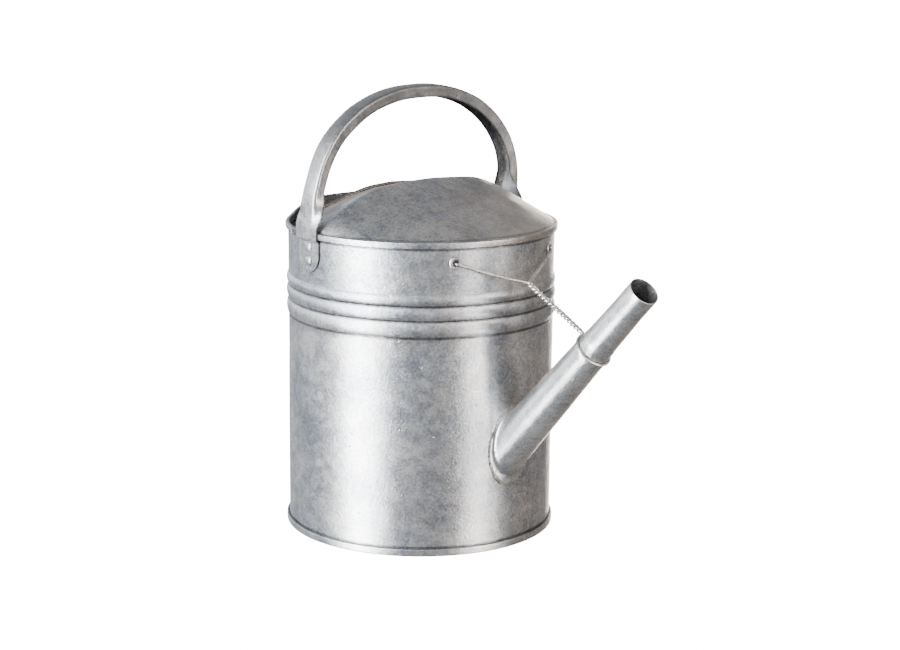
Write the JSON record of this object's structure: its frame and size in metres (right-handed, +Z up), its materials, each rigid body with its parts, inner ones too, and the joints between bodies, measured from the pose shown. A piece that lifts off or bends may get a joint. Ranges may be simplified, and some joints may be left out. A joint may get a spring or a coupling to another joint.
{
  "type": "watering can",
  "caption": "Cylindrical sheet-metal watering can with a half hood, an arched strap handle across the top and a straight angled spout tied back to the wall by twisted wire.",
  "frame": {"origin": "centre of the round base, on the floor the foot stands on", "axes": "+Z up along the axis of the can, +X towards the spout, the handle crosses from -Y to +Y"},
  "size_m": [0.37, 0.2276, 0.3653],
  "materials": {
    "body_sheet": "weathered hot-dip galvanised sheet, mottled satin",
    "hood_sheet": "weathered hot-dip galvanised sheet, slightly browned",
    "handle_strap": "weathered hot-dip galvanised strap, satin",
    "spout_sheet": "weathered hot-dip galvanised sheet, satin",
    "solder": "dull tin solder",
    "tie_wire": "galvanised tie wire, worn",
    "rivet_metal": "worn bright rivet head"
  },
  "bodies": {
    "root": {"base_disc": "body_sheet", "body_shell": "body_sheet", "hood": "hood_sheet", "handle": "handle_strap", "spout_tube": "spout_sheet", "spout_solder": "solder", "spout_nozzle": "spout_sheet", "wire_brace": "tie_wire", "rivet_near_low": "rivet_metal", "rivet_near_high": "rivet_metal", "rivet_far_low": "rivet_metal", "rivet_far_high": "rivet_metal", "eyelet_near": "rivet_metal", "eyelet_far": "rivet_metal"}
  },
  "joints": []
}
